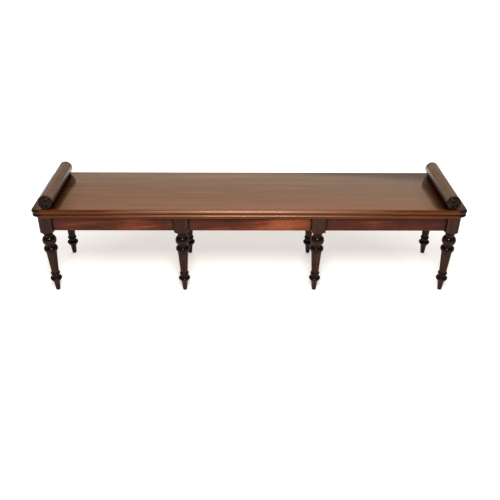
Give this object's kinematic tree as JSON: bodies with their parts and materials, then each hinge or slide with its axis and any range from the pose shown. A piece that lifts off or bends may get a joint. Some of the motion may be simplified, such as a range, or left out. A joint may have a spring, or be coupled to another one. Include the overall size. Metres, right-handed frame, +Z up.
{
  "type": "hall bench",
  "caption": "Long mahogany hall bench: a moulded seat board with a turned roll across each end, on turned legs with square head blocks joined by rails.",
  "frame": {"origin": "centre of the bench on the floor, under the middle of the seat", "axes": "+X along the seat, to the right as seen from the front, -Y towards the front, +Z up"},
  "size_m": [1.83, 0.4, 0.476],
  "materials": {
    "seat_mahogany": "french polished",
    "roll_mahogany": "french polished",
    "leg_mahogany": "french polished",
    "rail_mahogany": "french polished",
    "frame_wood": "bare, sawn and planed",
    "screw_steel": "dull steel"
  },
  "bodies": {
    "root": {"back_inner_left_leg": "leg_mahogany", "back_inner_right_leg": "leg_mahogany", "back_left_leg": "leg_mahogany", "back_left_rail": "rail_mahogany", "back_lining": "seat_mahogany", "back_middle_rail": "rail_mahogany", "back_right_leg": "leg_mahogany", "back_right_rail": "rail_mahogany", "front_inner_left_leg": "leg_mahogany", "front_inner_right_leg": "leg_mahogany", "front_left_leg": "leg_mahogany", "front_left_rail": "rail_mahogany", "front_lining": "seat_mahogany", "front_middle_rail": "rail_mahogany", "front_right_leg": "leg_mahogany", "front_right_rail": "rail_mahogany", "glue_blocks": "frame_wood", "left_cross_rail": "frame_wood", "left_end_rail": "rail_mahogany", "left_lining": "seat_mahogany", "left_roll": "roll_mahogany", "right_cross_rail": "frame_wood", "right_end_rail": "rail_mahogany", "right_lining": "seat_mahogany", "right_roll": "roll_mahogany", "roll_screws": "screw_steel", "seat_board": "seat_mahogany", "seat_screws": "screw_steel"}
  },
  "joints": []
}
